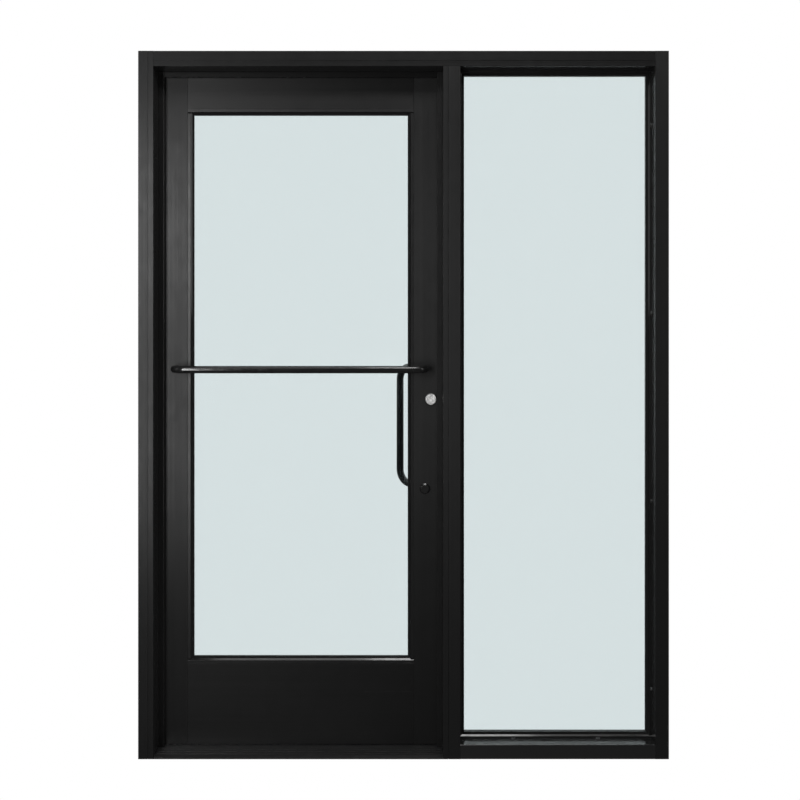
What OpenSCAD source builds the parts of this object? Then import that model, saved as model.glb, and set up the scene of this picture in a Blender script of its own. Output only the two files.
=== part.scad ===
// Black aluminium storefront entrance: one outward-swinging glass door with a fixed sidelite,
// in one frame. X runs across the opening with the hinges at -X, Y runs from the inside of the
// building to the outside, and Z is up. The origin is at floor level, in the middle of the
// width and of the frame's depth.

/* [Frame] */
// Overall width of the frame
frame_w = 1556.5; // [1400:0.5:2400]
// Overall height of the frame
frame_h = 2077; // [1700:1:2600]
// Depth of the frame from inside face to outside face
frame_d = 114.3; // [110:0.1:160]
// Face width of the hinge jamb
hinge_jamb_face = 44.5; // [38:0.5:70]
// Face width of the mullion
mullion_face = 50.5; // [45:0.5:80]
// Face width of the sidelite jamb
sidelite_jamb_face = 40; // [36:0.5:70]
// Face height of the header
header_face = 45; // [38:0.5:120]
// Face height of the sidelite sill
sill_face = 42; // [38:0.5:200]
// Clear width between hinge jamb and mullion
door_opening_w = 850; // [750:1:1100]
// Wall of the frame extrusions
frame_wall = 3.2; // [2.6:0.1:4.5]
// Distance of the shadow groove from the opening's edge
groove_inset = 15.5; // [10:0.5:20]
// Width of the shadow groove
groove_w = 1.6; // [0.8:0.1:3]
// Depth of the shadow groove
groove_depth = 1.2; // [0.5:0.1:1.8]
// Height of the threshold
threshold_h = 6; // [4:0.5:8]
// Height of the lowest and distance between the anchor screws of the sidelite jamb
anchor_z = 190; // [150:5:300]
// Number of anchor screws in the sidelite jamb
anchor_count = 4; // [2:1:6]
// Distance of the sill screws from the ends of the sill
sill_screw_inset = 160; // [60:5:200]
// Distance of the anchor holes from the ends of the hinge jamb
wall_hole_inset = 120; // [80:5:140]
// Distance between the two anchor holes of a pair
wall_hole_pitch = 480; // [300:5:500]
// Diameter of the anchor holes
wall_hole_d = 8; // [5:0.1:10]

/* [Door stops] */
// How far a door stop stands into the opening
stop_w = 15.5; // [10:0.5:20]
// Thickness of a door stop
stop_t = 10; // [9:0.1:14]
// Wall of a door stop
stop_wall = 1.6; // [1.2:0.1:2]
// How far the weather seal stands out of its stop
seal_h = 2.4; // [1.5:0.1:4]
// Space between the weather seal and the door
seal_gap = 0.3; // [0.2:0.1:1]

/* [Door leaf] */
// Thickness of the door leaf
leaf_t = 44.45; // [40:0.05:60]
// Gap on the hinge side
hinge_gap = 2; // [1.5:0.1:3]
// Gap on the lock side
lock_gap = 4; // [3:0.1:6]
// Gap under the header
head_gap = 3; // [2:0.1:6]
// Height of the leaf's lower edge above the floor
leaf_bottom = 9; // [8.5:0.1:14]
// Face width of the stiles
stile_w = 81.5; // [70:0.5:130]
// Face height of the top rail
top_rail_h = 105.5; // [80:0.5:200]
// Face height of the bottom rail
bottom_rail_h = 245; // [120:0.5:400]
// Wall of the leaf's extrusions
leaf_wall = 3.2; // [2.6:0.1:4.5]
// Thickness of the sweep under the bottom rail
sweep_t = 7; // [4:0.5:12]

/* [Glazing] */
// Thickness of one pane
pane_t = 6; // [5:0.1:7]
// Air space between the two panes
air_space = 13.4; // [10:0.1:14]
// Space between a pane's edge and the frame
pane_gap = 4; // [3:0.1:6]
// Thickness of the gaskets
gasket_t = 3; // [2:0.1:4]
// Face width of the door's glazing beads
bead_w = 12.7; // [10:0.1:20]
// Wall of the door's glazing beads
bead_wall = 2; // [1.4:0.1:2.4]
// How far a gasket shows beyond a door bead
bead_lip = 5.3; // [2:0.1:8]
// Width and depth of the sloping sight edge of the inside beads
bead_slope = 4.5; // [1:0.1:4.5]
// Face width of the door's outside beads
outer_bead_w = 8.6; // [8.6:0.1:20]
// How far a gasket shows beyond an outside bead or stop
outer_lip = 1; // [0.5:0.1:8]
// Face width of the sidelite's glazing stops
side_stop_w = 8; // [7:0.1:16]
// Thickness of the sidelite's inside glazing stops
side_stop_t = 5; // [4:0.1:16]
// Width and depth of the sloping sight edge of the inside stops
side_stop_slope = 4; // [1:0.1:4]
// How far the sidelite's inside stops stand back from the frame's inside face
side_stop_setback = 43; // [40:0.5:60]
// How far a gasket shows beyond an inside stop of the sidelite
side_lip = 6.3; // [2:0.1:8]
// Face width of the sidelite's outside glazing stops
outer_stop_w = 7; // [7:0.1:16]
// Thickness of the sidelite's outside glazing stops
outer_stop_t = 6; // [5:0.1:12]
// Fall of the sidelite sill's outside edge, which sheds the rain
sill_fall = 8; // [0:0.5:12]
// Width of the spacer bars between the panes
spacer_w = 6; // [4:0.1:8]
// Length of the setting blocks under the glass
block_len = 100; // [50:1:150]

/* [Hinges] */
// Height of a hinge
hinge_h = 114.3; // [90:0.1:127]
// Thickness of a hinge plate
hinge_t = 3.2; // [2.6:0.1:4.5]
// Depth of a hinge plate in the jamb
hinge_depth = 32; // [28:0.5:34]
// Diameter of the hinge barrel
barrel_d = 12.6; // [11:0.1:14]
// Diameter of the hinge pin
pin_d = 6; // [4:0.1:7]
// Running clearance round the pin
pin_clear = 0.06; // [0.03:0.01:0.1]
// Gap between two knuckles
knuckle_gap = 0.3; // [0.2:0.1:0.6]
// Distance from the leaf's top or bottom to the middle of the nearest hinge
hinge_inset = 190; // [150:5:300]

/* [Push bar and pull handle] */
// Diameter of the bar and of the handle
rod_d = 22.2; // [19:0.1:25.4]
// Height of the push bar
bar_z = 1141.5; // [1130:0.5:1200]
// Distance of the mountings from the leaf's side edges
mount_inset = 48; // [46:0.5:52]
// Distance from the leaf to the middle of the push bar
bar_off = 57; // [45:0.5:80]
// Bend radius of the push bar
bar_bend = 35; // [25:1:40]
// Distance of the handle's grip from its mountings, both sideways and outwards
pull_off = 75; // [60:1:90]
// Distance between the handle's two mountings
pull_cc = 362; // [200:1:450]
// Bend radius of the handle
pull_bend = 40; // [25:1:60]
// Diameter of the mounting bolts
bolt_d = 6.4; // [5:0.1:6.6]
// Diameter of the round bolt covers
cap_d = 32; // [22:0.5:40]

/* [Lock] */
// Height of the key cylinders
cyl_z = 1049.5; // [1030:0.5:1051]
// Distance of the key cylinders from the leaf's edge
backset = 30; // [27:0.5:32]
// Diameter of a cylinder body
cyl_d = 28.8; // [26:0.1:30]
// Outer diameter of the collar round a cylinder
collar_d = 36; // [34:0.5:44]
// How far a collar stands off the leaf
collar_h = 5; // [3:0.5:8]
// Diameter of the key plug
plug_d = 12.7; // [11:0.1:14]
// Distance of the plug below the cylinder's middle
plug_drop = 3.3; // [2:0.1:4]
// Length of a cylinder body in the leaf
cyl_len = 17.5; // [15:0.1:17.5]
// Length of the swinging bolt from its pivot
deadbolt_len = 49; // [40:0.5:52]
// Width of the swinging bolt
deadbolt_w = 26; // [20:0.5:26]
// Thickness of the swinging bolt
deadbolt_t = 14; // [10:0.5:15]
// Distance of the bolt's pivot from the leaf's edge
pivot_inset = 17; // [16.5:0.5:19]
// Thickness of the lock case between its outer faces
case_t = 25.4; // [22:0.1:30]

/* [Hidden] */
$fn = 48;

// Small distance by which a cutting shape runs past the face that it cuts
past = 1;
// Clearance between pieces that are fitted by hand
fit = 0.2;
// Hairline gap where two pieces of one trim set butt together
butt_gap = 0.1;
// Broken corner of the extrusions
edge_break = 0.6;

// Frame lines
x_left = -frame_w / 2;
x_right = frame_w / 2;
x_hinge = x_left + hinge_jamb_face;
x_strike = x_hinge + door_opening_w;
x_side = x_strike + mullion_face;
x_end = x_right - sidelite_jamb_face;
y_in = -frame_d / 2;
y_out = frame_d / 2;
z_head = frame_h - header_face;

// Door leaf lines
x_leaf0 = x_hinge + hinge_gap;
x_leaf1 = x_strike - lock_gap;
y_leaf0 = y_out - leaf_t;
y_leaf_mid = y_out - leaf_t / 2;
z_leaf1 = z_head - head_gap;
y_stop1 = y_leaf0 - seal_gap - seal_h;
y_stop0 = y_stop1 - stop_t;

// Openings inside the members: [x low, x high, z low, z high]
doorway = [x_hinge, x_strike, threshold_h, z_head];
door_light = [x_leaf0 + stile_w, x_leaf1 - stile_w, leaf_bottom + bottom_rail_h, z_leaf1 - top_rail_h];
side_light = [x_side, x_end, sill_face, z_head];

// Glass unit lines
unit_t = 2 * pane_t + air_space;
y_door_unit = y_leaf_mid - unit_t / 2;
bead_t = (leaf_t - unit_t) / 2 - gasket_t;
y_side_stop = y_in + side_stop_setback;
y_side_unit = y_side_stop + side_stop_t + gasket_t;
y_outer_stop = y_side_unit + unit_t + gasket_t;
sight_edge = 1.4;
gasket_seat = 5;

// Frame screws
anchor_top = frame_h - anchor_z - 20;
anchor_zs = [for (i = [0:anchor_count - 1])
    anchor_z + i * (anchor_top - anchor_z) / (anchor_count - 1)];
anchor_y = y_in + 37;
anchor_head_d = 12;
anchor_head_h = 3.6;
anchor_shank_d = 6.2;
sill_screw_xs = [x_side + sill_screw_inset, x_end - sill_screw_inset];
wall_hole_zs = [
    wall_hole_inset, wall_hole_inset + wall_hole_pitch,
    frame_h - wall_hole_inset - wall_hole_pitch, frame_h - wall_hole_inset
];
wall_hole_y = y_leaf_mid;

// Corner clips
clip_t = 5;
clip_arm = 24;
frame_clip_w = 80;
leaf_clip_arm = 60;
leaf_clip_w = leaf_t - 2 * leaf_wall - 4;
clip_screw_d = 6;

// Hinges
hinge_zs = [leaf_bottom + hinge_inset + 60, (leaf_bottom + z_leaf1) / 2, z_leaf1 - hinge_inset];
hinge_x = x_hinge + hinge_gap / 2;
hinge_y = y_out + barrel_d / 2 + 0.7;
knuckle_count = 5;
knuckle_pitch = hinge_h / knuckle_count;
backer_t = 5;
backer_h = hinge_h + 30;
csk_head_d = 9;
csk_shank_d = 4.8;
csk_head_h = 2.4;
csk_len = 9;
hinge_screw_spots = [
    for (k = [-1, 1]) [y_out - 22, k * (hinge_h / 2 - 14)],
    for (k = [-1, 1]) [y_out - 10, k * (hinge_h / 2 - 38)]
];

// Push bar and pull handle
bar_x0 = x_leaf0 + mount_inset;
bar_x1 = x_leaf1 - mount_inset;
pull_z0 = bar_z - pull_cc;
pull_leg = pull_off * sqrt(2);
bolt_clear = 0.3;
bolt_in_bar = 12;
bolt_in_pull = 8.5;
bolt_head_d = 13;
bolt_head_h = 2.6;
cap_h = 4.5;

// Lock
cyl_x = x_leaf1 - backset;
plug_z = cyl_z - plug_drop;
pivot_x = x_leaf1 - pivot_inset;
pivot_z = cyl_z + 44.5;
case_wall = 1.8;
case_x0 = cyl_x - cyl_d / 2 - 3.5;
case_x1 = x_leaf1 - leaf_wall;
case_x_step = pivot_x - deadbolt_w / 2 - case_wall - 7;
case_z0 = cyl_z - 30.5;
case_z1 = pivot_z + deadbolt_len + 17;
case_z_step = cyl_z + cyl_d / 2 + 14;
slot_w = deadbolt_t + 2;
slot_z0 = pivot_z - deadbolt_w / 2 - 1;
slot_z1 = pivot_z + deadbolt_len + 2;
plate_w = 25.4;
plate_z0 = case_z0 - 12;
plate_z1 = case_z1 + 12;
strike_t = 2;
strike_w = 28;
strike_z0 = slot_z0 - 26;
strike_z1 = slot_z1 + 26;
pivot_pin_d = 6;
plug_clear = 0.06;
cam_t = 2.4;
cam_reach = 17;
cam_gap = 0.4;

// Colours
black_coat = [0.11, 0.11, 0.12];
black_rubber = [0.04, 0.04, 0.04];
clear_glass = [0.78, 0.86, 0.87, 0.45];
bright_metal = [0.78, 0.78, 0.76];
mill_metal = [0.62, 0.63, 0.64];
dark_metal = [0.2, 0.2, 0.21];

// ---------------------------------------------------------------- sections

// Rectangle w by d with broken corners
module broken_rect(w, d, c = edge_break) {
    polygon([[c, 0], [w - c, 0], [w, c], [w, d - c], [w - c, d], [c, d], [0, d - c], [0, c]]);
}

// Hollow extrusion
module tube_section(w, d, wall) {
    difference() {
        broken_rect(w, d);
        translate([wall, wall])
            square([w - 2 * wall, d - 2 * wall]);
    }
}

// Frame extrusion, with the shadow groove on both faces at each place in grooves
module frame_section(face, grooves) {
    translate([0, y_in])
        difference() {
            tube_section(face, frame_d, frame_wall);
            for (u = grooves)
                for (v = [-past, frame_d - groove_depth])
                    translate([u - groove_w / 2, v])
                        square([groove_w, groove_depth + past]);
        }
}

// Runs a section along one side of the rectangle b. The section's first axis points inwards
// from that side and its second axis is Y. The ends can be shortened by trim.
module run_bottom(b, trim = 0) {
    translate([b[1] - trim, 0, b[2]])
        rotate([0, -90, 0])
            linear_extrude(b[1] - b[0] - 2 * trim)
                children();
}

module run_top(b, trim = 0) {
    translate([b[0] + trim, 0, b[3]])
        rotate([0, 90, 0])
            linear_extrude(b[1] - b[0] - 2 * trim)
                children();
}

module run_left(b, trim_low = 0, trim_high = 0) {
    translate([b[0], 0, b[2] + trim_low])
        linear_extrude(b[3] - b[2] - trim_low - trim_high)
            children();
}

module run_right(b, trim_low = 0, trim_high = 0) {
    translate([b[1], 0, b[2] + trim_low])
        mirror([1, 0, 0])
            linear_extrude(b[3] - b[2] - trim_low - trim_high)
                children();
}

// Runs a section of width w round all four sides, with the upright runs between the level ones.
// A gap leaves four separate pieces, and no gap makes one ring.
module run_round(b, w, gap = 0) {
    run_bottom(b) children();
    run_top(b) children();
    run_left(b, w + gap, w + gap) children();
    run_right(b, w + gap, w + gap) children();
}

// Door stop with a groove for its weather seal
module door_stop_section() {
    seal_slot = 2.4;
    translate([0, y_stop0])
        difference() {
            broken_rect(stop_w, stop_t);
            translate([stop_wall, stop_wall])
                square([stop_w - 2 * stop_wall, stop_t - seal_slot - 2.4 * stop_wall]);
            translate([stop_w / 2 - 2, stop_t - seal_slot])
                square([4, seal_slot + past]);
        }
}

// Weather seal: a foot in the stop's groove and a half-round bulb
module weather_seal_section() {
    translate([stop_w / 2, y_stop1]) {
        translate([-1.8, -2.2])
            square([3.6, 2.3]);
        intersection() {
            scale(seal_h)
                circle(1);
            translate([-seal_h, 0])
                square([2 * seal_h, seal_h]);
        }
    }
}

// Glazing bead w wide and t thick: a channel with a sloping sight edge, its back at zero
module bead_section(w, t, wall, slope) {
    difference() {
        polygon([[0, 0], [w, 0], [w, t - slope], [w - slope, t], [0, t]]);
        translate([wall, -past])
            square([w - gasket_seat - 2 * wall, t - wall + past]);
    }
}

// Glazing stop of the sidelite: a thin channel with a sloping sight edge, its back at zero
module side_stop_section(w, t, slope) {
    wall = 1.4;
    bend = slope + 0.4 * wall;
    polygon([
        [0, 0], [wall, 0], [wall, t - wall], [w - bend, t - wall], [w - wall, t - bend],
        [w - wall, 0], [w, 0], [w, t - slope], [w - slope, t], [0, t]
    ]);
}

// Flat tongue of a gasket, behind a bead of width w
module gasket_tongue(w) {
    translate([w - gasket_seat, 0])
        square([gasket_seat + 0.5, gasket_t]);
}

// Lip of a gasket, which leans on the glass past a bead of width w
module gasket_lip(w, lip) {
    nose = gasket_t + 1.2;
    shoulder = min(1.2, 0.6 * lip);
    polygon([[w, 0], [w + lip, 0], [w + lip, 0.8], [w + shoulder, nose], [w, nose]]);
}

// One gasket all round the rectangle b, on the plane that its section is put on
module gasket_tongues(b, w) {
    run_bottom(b, w - gasket_seat) children();
    run_top(b, w - gasket_seat) children();
    run_left(b, w, w) children();
    run_right(b, w, w) children();
}

module gasket_lips(b, w) {
    run_bottom(b, w) children();
    run_top(b, w) children();
    run_left(b, w, w) children();
    run_right(b, w, w) children();
}

// Puts a section's zero on the plane y, facing the inside or the outside
module face_inside(y) {
    translate([0, y])
        mirror([0, 1])
            children();
}

module face_outside(y) {
    translate([0, y])
        children();
}

// ---------------------------------------------------------------- fasteners

// Countersunk screw with its head's face at zero, pointing along -Z
module csk_screw(grow = 0, length = csk_len) {
    translate([0, 0, -csk_head_h])
        cylinder(h = csk_head_h, d1 = csk_shank_d + 2 * grow, d2 = csk_head_d + 2 * grow);
    translate([0, 0, -length - grow])
        cylinder(h = length + grow - csk_head_h, d = csk_shank_d + 2 * grow);
}

// Countersunk screw with a cross recess
module cross_screw(length = csk_len) {
    difference() {
        csk_screw(0, length);
        for (a = [0, 90])
            rotate(a)
                translate([-2.4, -0.5, -1.2])
                    cube([4.8, 1, 1.2 + past]);
    }
}

// Pan-head screw with a cross recess, its head's seat at zero, pointing along -Z
module pan_screw(length) {
    difference() {
        union() {
            cylinder(h = anchor_head_h * 0.55, d = anchor_head_d);
            translate([0, 0, anchor_head_h * 0.55])
                cylinder(h = anchor_head_h * 0.45, d1 = anchor_head_d, d2 = anchor_head_d * 0.62);
            translate([0, 0, -length])
                cylinder(h = length, d = anchor_shank_d);
        }
        for (a = [0, 90])
            rotate(a + 45)
                translate([-3, -0.7, anchor_head_h - 1.8])
                    cube([6, 1.4, 1.8 + past]);
    }
}

// ---------------------------------------------------------------- frame

// Where the corner clips sit: each turns a clip's two plates to two members
module at_frame_clips() {
    translate([x_hinge, 0, z_head + frame_wall]) children();
    translate([x_end, 0, z_head + frame_wall]) mirror([1, 0, 0]) children();
    translate([x_side, 0, frame_wall]) children();
    translate([x_end, 0, frame_wall]) mirror([1, 0, 0]) children();
    translate([x_strike + frame_wall, 0, z_head]) rotate([0, 90, 0]) children();
}

clip_screw_spots = [[-25, clip_arm - 8], [25, clip_arm - 8]];

// Places a child along X through a clip's upright plate
module at_clip_screws(spots) {
    for (s = spots)
        translate([0, s[0], s[1]])
            rotate([0, -90, 0])
                children();
}

module clip(w, arm, spots) {
    difference() {
        union() {
            translate([0, -w / 2, 0])
                cube([clip_t, w, arm]);
            translate([0, -w / 2, 0])
                cube([arm, w, clip_t]);
        }
        translate([-past, 0, 0])
            at_clip_screws(spots)
                translate([0, 0, -clip_t - 2 * past])
                    cylinder(h = clip_t + 2 * past, d = clip_screw_d + 2 * fit);
    }
}

// Clip screw: the head bears on the far side of a wall, with the shank through wall and clip
module clip_screw(wall) {
    translate([0, 0, wall])
        cylinder(h = 3, d = 10);
    translate([0, 0, -clip_t - 4])
        cylinder(h = clip_t + 4 + wall, d = clip_screw_d);
}

module frame_clip_holes() {
    at_frame_clips()
        at_clip_screws(clip_screw_spots)
            translate([0, 0, -past])
                cylinder(h = frame_wall + 2 * past, d = clip_screw_d + 2 * fit);
}

module frame_clips() {
    color(mill_metal)
        at_frame_clips()
            clip(frame_clip_w, clip_arm, clip_screw_spots);
}

module at_hinge_screws() {
    for (z = hinge_zs)
        for (s = hinge_screw_spots)
            translate([0, s[0], z + s[1]])
                children();
}

module at_strike_screws() {
    for (z = [strike_z0 + 9, strike_z1 - 9])
        translate([x_strike, y_leaf_mid, z])
            rotate([0, -90, 0])
                children();
}

module frame_screws() {
    color(dark_metal) {
        at_frame_clips()
            at_clip_screws(clip_screw_spots)
                clip_screw(frame_wall);
        at_hinge_screws()
            translate([x_hinge, 0, 0])
                rotate([0, 90, 0])
                    cross_screw();
        at_strike_screws()
            cross_screw();
    }
}

module at_anchor_screws() {
    for (z = anchor_zs)
        translate([x_end, anchor_y, z])
            rotate([0, -90, 0])
                children();
    for (x = sill_screw_xs)
        translate([x, anchor_y, sill_face])
            children();
}

module anchor_screws() {
    color(dark_metal)
        at_anchor_screws()
            pan_screw(min(sidelite_jamb_face, sill_face) - 1);
}

// Cut-outs of the three hinge plates, into +X (side 1) or -X (side -1) from the face at x_face
module hinge_plate_cuts(x_face, side) {
    cut_depth = max(hinge_t, frame_wall, leaf_wall) + 0.01;
    for (z = hinge_zs)
        translate([x_face, 0, z])
            mirror([side > 0 ? 0 : 1, 0, 0])
                translate([-past, y_out - hinge_depth - fit, -hinge_h / 2 - fit])
                    cube([cut_depth + past, hinge_depth + fit + past, hinge_h + 2 * fit]);
}

module hinge_jamb() {
    color(black_coat)
        difference() {
            translate([x_left, 0, 0])
                linear_extrude(frame_h)
                    frame_section(hinge_jamb_face, [hinge_jamb_face - groove_inset]);
            hinge_plate_cuts(x_hinge, -1);
            frame_clip_holes();
            for (z = wall_hole_zs)
                translate([x_left - past, wall_hole_y, z])
                    rotate([0, 90, 0])
                        cylinder(h = hinge_jamb_face + 2 * past, d = wall_hole_d);
        }
}

module strike_slot(grow) {
    translate([x_strike - past, y_leaf_mid - slot_w / 2 - grow, slot_z0 - grow])
        cube([frame_wall + 2 * past, slot_w + 2 * grow, slot_z1 - slot_z0 + 2 * grow]);
}

module mullion() {
    color(black_coat)
        difference() {
            translate([x_strike, 0, 0])
                linear_extrude(z_head)
                    frame_section(mullion_face, [groove_inset]);
            translate([x_strike - past, y_leaf_mid - strike_w / 2 - fit, strike_z0 - fit])
                cube([strike_t + past, strike_w + 2 * fit, strike_z1 - strike_z0 + 2 * fit]);
            strike_slot(0);
            at_strike_screws()
                csk_screw(fit);
            frame_clip_holes();
        }
}

module sidelite_jamb() {
    color(black_coat)
        difference() {
            translate([x_end, 0, 0])
                linear_extrude(frame_h)
                    frame_section(sidelite_jamb_face, []);
            frame_clip_holes();
            for (z = anchor_zs)
                translate([x_end - past, anchor_y, z])
                    rotate([0, 90, 0])
                        cylinder(h = sidelite_jamb_face + 2 * past, d = anchor_shank_d + 2 * fit);
        }
}

module header() {
    color(black_coat)
        difference() {
            translate([x_hinge, 0, frame_h])
                rotate([0, 90, 0])
                    linear_extrude(x_end - x_hinge)
                        frame_section(header_face, [header_face - groove_inset]);
            frame_clip_holes();
        }
}

// Hollow sill section, level under the glass and falling outwards behind it
module sill_section() {
    c = edge_break;
    y_fall = y_outer_stop + outer_stop_t + 0.6;
    low = sill_face - sill_fall;
    inner = sill_face - frame_wall;
    difference() {
        polygon([
            [0, y_in + c], [c, y_in], [sill_face - c, y_in], [sill_face, y_in + c],
            [sill_face, y_fall], [low, y_out - c], [low - c, y_out], [c, y_out], [0, y_out - c]
        ]);
        polygon([
            [frame_wall, y_in + frame_wall], [inner, y_in + frame_wall], [inner, y_fall - 1],
            [low - frame_wall, y_out - frame_wall], [frame_wall, y_out - frame_wall]
        ]);
    }
}

module sidelite_sill() {
    color(black_coat)
        difference() {
            run_bottom([x_side, x_end, 0, sill_face])
                sill_section();
            for (x = sill_screw_xs)
                translate([x, anchor_y, -past])
                    cylinder(h = sill_face + 2 * past, d = anchor_shank_d + 2 * fit);
        }
}

// Flat saddle with sloping edges and a row of shallow grip grooves
module threshold() {
    slope = 12;
    edge_h = threshold_h / 2;
    groove_pitch = 13;
    color(mill_metal)
        difference() {
            translate([x_hinge, 0, 0])
                rotate([90, 0, 90])
                    linear_extrude(door_opening_w)
                        polygon([
                            [y_in, 0], [y_out, 0], [y_out, edge_h], [y_out - slope, threshold_h],
                            [y_in + slope, threshold_h], [y_in, edge_h]
                        ]);
            for (y = [y_in + slope + groove_pitch / 2:groove_pitch:y_out - slope - 3])
                translate([x_hinge - past, y, threshold_h - 1])
                    cube([door_opening_w + 2 * past, 2, 1 + past]);
        }
}

module hinge_door_stop() {
    color(black_coat)
        run_left(doorway)
            door_stop_section();
}

module lock_door_stop() {
    color(black_coat)
        run_right(doorway)
            door_stop_section();
}

module header_door_stop() {
    color(black_coat)
        run_top(doorway, stop_w)
            door_stop_section();
}

module weather_seals() {
    color(black_rubber) {
        run_left(doorway)
            weather_seal_section();
        run_right(doorway)
            weather_seal_section();
        run_top(doorway, stop_w)
            weather_seal_section();
    }
}

// ---------------------------------------------------------------- sidelite glazing

module sidelite_inner_stops() {
    color(black_coat)
        run_round(side_light, side_stop_w, butt_gap)
            face_inside(y_side_stop + side_stop_t)
                side_stop_section(side_stop_w, side_stop_t, side_stop_slope);
}

module sidelite_outer_stops() {
    color(black_coat)
        run_round(side_light, outer_stop_w, butt_gap)
            face_outside(y_outer_stop)
                side_stop_section(outer_stop_w, outer_stop_t, 2 * sight_edge);
}

// Gaskets on both sides of a glass unit whose inside face is at y
module gasket_set(b, y, w, lip, w_out) {
    color(black_rubber) {
        gasket_tongues(b, w) face_inside(y) gasket_tongue(w);
        gasket_lips(b, w) face_inside(y) gasket_lip(w, lip);
        gasket_tongues(b, w_out) face_outside(y + unit_t) gasket_tongue(w_out);
        gasket_lips(b, w_out) face_outside(y + unit_t) gasket_lip(w_out, outer_lip);
    }
}

module pane(b, y) {
    color(clear_glass)
        translate([b[0] + pane_gap, y, b[2] + pane_gap])
            cube([b[1] - b[0] - 2 * pane_gap, pane_t, b[3] - b[2] - 2 * pane_gap]);
}

module spacer(b, y) {
    inset = pane_gap + 1.5;
    color(dark_metal)
        run_round([b[0] + inset, b[1] - inset, b[2] + inset, b[3] - inset], spacer_w)
            translate([0, y + pane_t])
                square([spacer_w, air_space]);
}

// Two blocks under a glass unit, a quarter of its width from each end
module setting_blocks(b, y) {
    quarter = (b[1] - b[0]) / 4;
    color(black_rubber)
        for (x = [b[0] + quarter, b[1] - quarter])
            translate([x - block_len / 2, y, b[2]])
                cube([block_len, unit_t, pane_gap]);
}

module sidelite_gaskets() {
    gasket_set(side_light, y_side_unit, side_stop_w, side_lip, outer_stop_w);
}

module sidelite_inner_pane() {
    pane(side_light, y_side_unit);
}

module sidelite_outer_pane() {
    pane(side_light, y_side_unit + pane_t + air_space);
}

module sidelite_spacer() {
    spacer(side_light, y_side_unit);
}

module sidelite_setting_blocks() {
    setting_blocks(side_light, y_side_unit);
}

// ---------------------------------------------------------------- hinges

// One hinge plate with its knuckles, in the hinge's own place: its barrel's axis is Z at zero
// height, side is -1 for the jamb's plate and 1 for the door's
module hinge_leaf(side) {
    first = side < 0 ? 0 : 1;
    plate_x = hinge_gap / 2;
    difference() {
        union() {
            mirror([side < 0 ? 1 : 0, 0, 0]) {
                translate([plate_x, y_out - hinge_depth - hinge_y, -hinge_h / 2])
                    cube([hinge_t, hinge_depth + 0.3, hinge_h]);
                for (i = [first:2:knuckle_count - 1])
                    translate([plate_x, y_out - hinge_y,
                               -hinge_h / 2 + i * knuckle_pitch + knuckle_gap / 2])
                        cube([hinge_t, hinge_y - y_out, knuckle_pitch - knuckle_gap]);
            }
            for (i = [first:2:knuckle_count - 1])
                translate([0, 0, -hinge_h / 2 + i * knuckle_pitch + knuckle_gap / 2])
                    cylinder(h = knuckle_pitch - knuckle_gap, d = barrel_d);
        }
        translate([0, 0, -hinge_h / 2 - past])
            cylinder(h = hinge_h + 2 * past, d = pin_d + 2 * pin_clear);
        for (s = hinge_screw_spots)
            translate([side * plate_x, s[0] - hinge_y, s[1]])
                rotate([0, -90 * side, 0])
                    csk_screw(0.1);
    }
}

module hinge_frame_leaf(i) {
    color(black_coat)
        translate([hinge_x, hinge_y, hinge_zs[i]])
            hinge_leaf(-1);
}

module hinge_door_leaf(i) {
    color(black_coat)
        translate([hinge_x, hinge_y, hinge_zs[i]])
            hinge_leaf(1);
}

module hinge_pins() {
    head = 3;
    color(black_coat)
        for (z = hinge_zs)
            translate([hinge_x, hinge_y, z]) {
                translate([0, 0, -hinge_h / 2 - head])
                    cylinder(h = hinge_h + 2 * head, d = pin_d);
                for (k = [-1, 1])
                    translate([0, 0, k * (hinge_h / 2 + head / 2)])
                        cylinder(h = head, d = barrel_d - 2, center = true);
            }
}

// Steel plates behind the walls that carry the hinges
module backer_plates(x_face, side) {
    depth_in = max(hinge_t, side < 0 ? frame_wall : leaf_wall);
    x_plate = side < 0 ? x_face - depth_in - backer_t : x_face + depth_in;
    color(mill_metal)
        difference() {
            for (z = hinge_zs)
                translate([x_plate, y_out - hinge_depth - 6, z - backer_h / 2])
                    cube([backer_t, hinge_depth + 6 - frame_wall - 0.5, backer_h]);
            at_hinge_screws()
                translate([x_face, 0, 0])
                    rotate([0, -90 * side, 0])
                        csk_screw(0.1, csk_len + 2);
        }
}

module jamb_backer_plates() {
    backer_plates(x_hinge, -1);
}

module stile_backer_plates() {
    backer_plates(x_leaf0, 1);
}

// ---------------------------------------------------------------- door leaf

module leaf_tube(w) {
    translate([0, y_leaf0])
        tube_section(w, leaf_t, leaf_wall);
}

leaf_box = [x_leaf0, x_leaf1, leaf_bottom, z_leaf1];
leaf_clip_spots = [[0, 20], [0, leaf_clip_arm - 14]];

module at_leaf_clips() {
    for (m = [0, 1])
        translate([m > 0 ? door_light[1] : door_light[0], y_leaf_mid, 0])
            mirror([m, 0, 0]) {
                translate([0, 0, z_leaf1 - leaf_wall]) mirror([0, 0, 1]) children();
                translate([0, 0, leaf_bottom + leaf_wall]) children();
            }
}

module leaf_clip_holes() {
    at_leaf_clips()
        at_clip_screws(leaf_clip_spots)
            translate([0, 0, -past])
                cylinder(h = leaf_wall + 2 * past, d = clip_screw_d + 2 * fit);
}

module leaf_clips() {
    color(mill_metal)
        at_leaf_clips()
            clip(leaf_clip_w, leaf_clip_arm, leaf_clip_spots);
}

module at_faceplate_screws() {
    for (z = [plate_z0 + 6, plate_z1 - 6])
        translate([x_leaf1, y_leaf_mid, z])
            rotate([0, 90, 0])
                children();
}

module leaf_screws() {
    color(dark_metal) {
        at_leaf_clips()
            at_clip_screws(leaf_clip_spots)
                clip_screw(leaf_wall);
        at_hinge_screws()
            translate([x_leaf0, 0, 0])
                rotate([0, -90, 0])
                    cross_screw();
        at_faceplate_screws()
            cross_screw();
    }
}

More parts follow.
